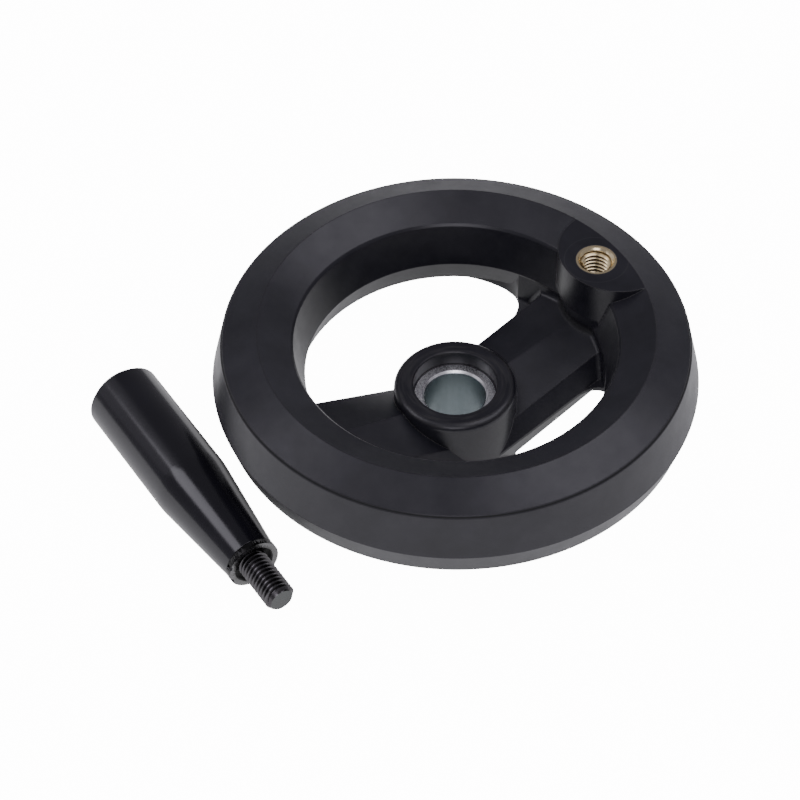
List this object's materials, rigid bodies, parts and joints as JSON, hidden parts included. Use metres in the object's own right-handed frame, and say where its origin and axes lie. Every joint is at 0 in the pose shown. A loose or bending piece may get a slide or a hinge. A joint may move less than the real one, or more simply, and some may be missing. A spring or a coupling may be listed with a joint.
{
  "type": "machine handwheel",
  "caption": "Dished machine handwheel with broad trough spokes, a steel-bushed hub bore and a threaded brass insert in a raised boss, with its tapered revolving handle unscrewed beside it.",
  "frame": {"origin": "centre of the hub bore at the hub's end face", "axes": "+Z along the bore, from the hub's end face towards the side with the handle boss; +X from the bore's axis to the handle boss"},
  "size_m": [0.1413, 0.125, 0.046],
  "materials": {
    "wheel_plastic": "satin black moulded plastic",
    "grip_plastic": "smooth black moulded plastic",
    "bush_steel": "turned, bright zinc plated",
    "insert_brass": "turned bright",
    "spindle_steel": "blackened",
    "ring_steel": "spring steel"
  },
  "bodies": {
    "wheel": {"wheel_body": "wheel_plastic", "hub_bush": "bush_steel", "thread_insert": "insert_brass", "handle_spindle": "spindle_steel", "snap_ring": "ring_steel"},
    "grip": {"grip": "grip_plastic"}
  },
  "joints": [
    {"name": "grip_spin", "type": "hinge", "parent": "wheel", "child": "grip", "pos_m": [-0.0688, -0.0108, 0.01], "axis": [0, 1, 0], "continuous": true}
  ]
}
